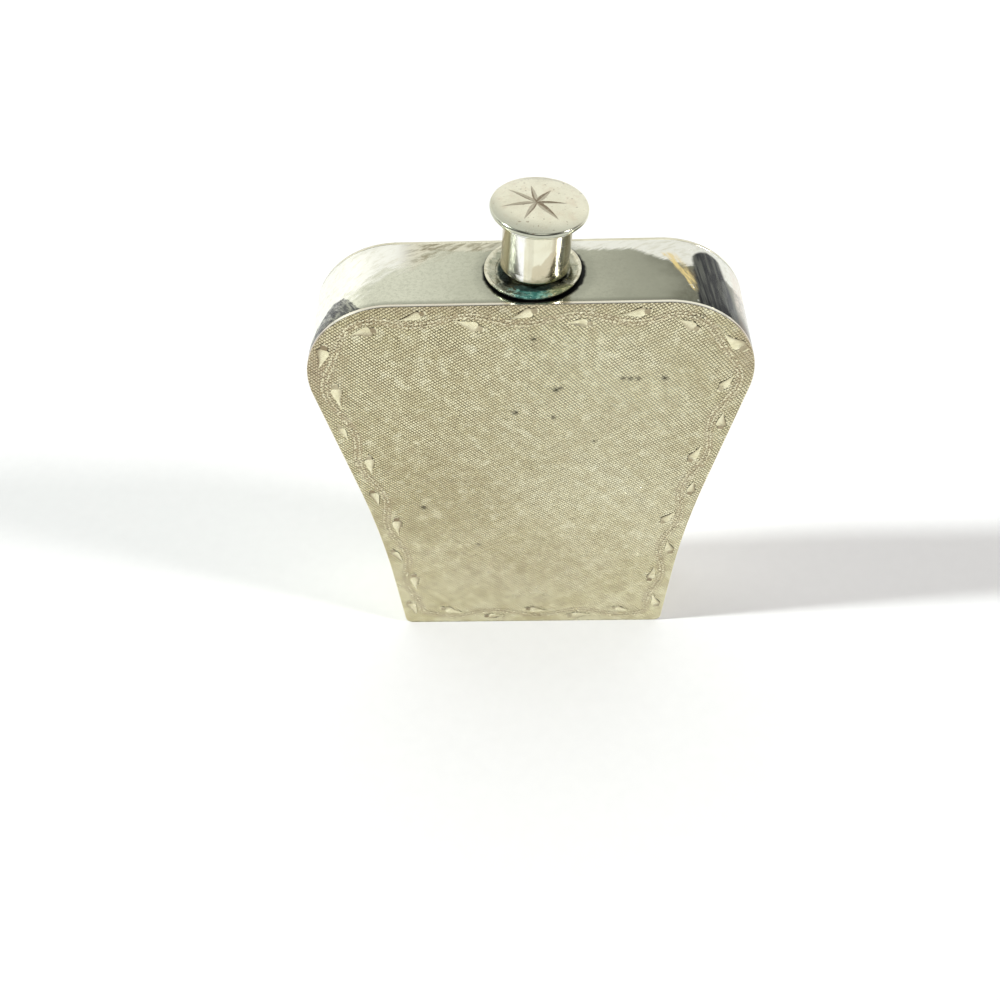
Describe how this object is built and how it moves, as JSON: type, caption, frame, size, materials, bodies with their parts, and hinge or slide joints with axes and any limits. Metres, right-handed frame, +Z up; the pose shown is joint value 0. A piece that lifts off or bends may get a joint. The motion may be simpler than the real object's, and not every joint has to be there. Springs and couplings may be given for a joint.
{
  "type": "hip flask",
  "caption": "Flat pocket flask with round shoulders and tapering sides, a saucer collar round its neck and a mushroom-shaped screw cap that leans a little to the right.",
  "frame": {"origin": "centre of the underside, on the surface the flask stands on", "axes": "+Z up, -Y out of the engraved front face, +X to the right of someone facing the front"},
  "size_m": [0.086, 0.0196, 0.1144],
  "materials": {
    "engraved_plate": "silver plate with fine cross-hatched engraving and a leaf border",
    "plain_plate": "worn polished silver plate",
    "polished_band": "worn polished silver plate with fine scratches",
    "base_metal": "rubbed silver plate",
    "tarnished_collar": "silver plate with green copper tarnish in the well",
    "thread_metal": "bare nickel silver",
    "cork": "natural cork",
    "cap_metal": "polished silver plate with an engraved star"
  },
  "bodies": {
    "flask": {"front_plate": "engraved_plate", "back_plate": "plain_plate", "side_band": "polished_band", "base_plate": "base_metal", "neck_collar": "tarnished_collar", "neck_tube": "thread_metal"},
    "cap_liner": {"cork_liner": "cork"},
    "cap": {"cap_top_plate": "cap_metal", "cap_under_plate": "cap_metal", "cap_stem": "cap_metal", "cap_thread_sleeve": "thread_metal"}
  },
  "joints": [
    {"name": "cap_lift", "type": "slide", "parent": "flask", "child": "cap_liner", "axis": [0.0698, 0, 0.9976], "range_m": [0, 0.018]},
    {"name": "cap_turn", "type": "hinge", "parent": "cap_liner", "child": "cap", "pos_m": [0.0011, 0, 0.0988], "axis": [0.0698, 0, 0.9976], "range_deg": [0, 3600]}
  ],
  "couplings": [
    {"joint": "cap_turn", "follows": "cap_lift", "rad_per_m": 3490.7}
  ]
}
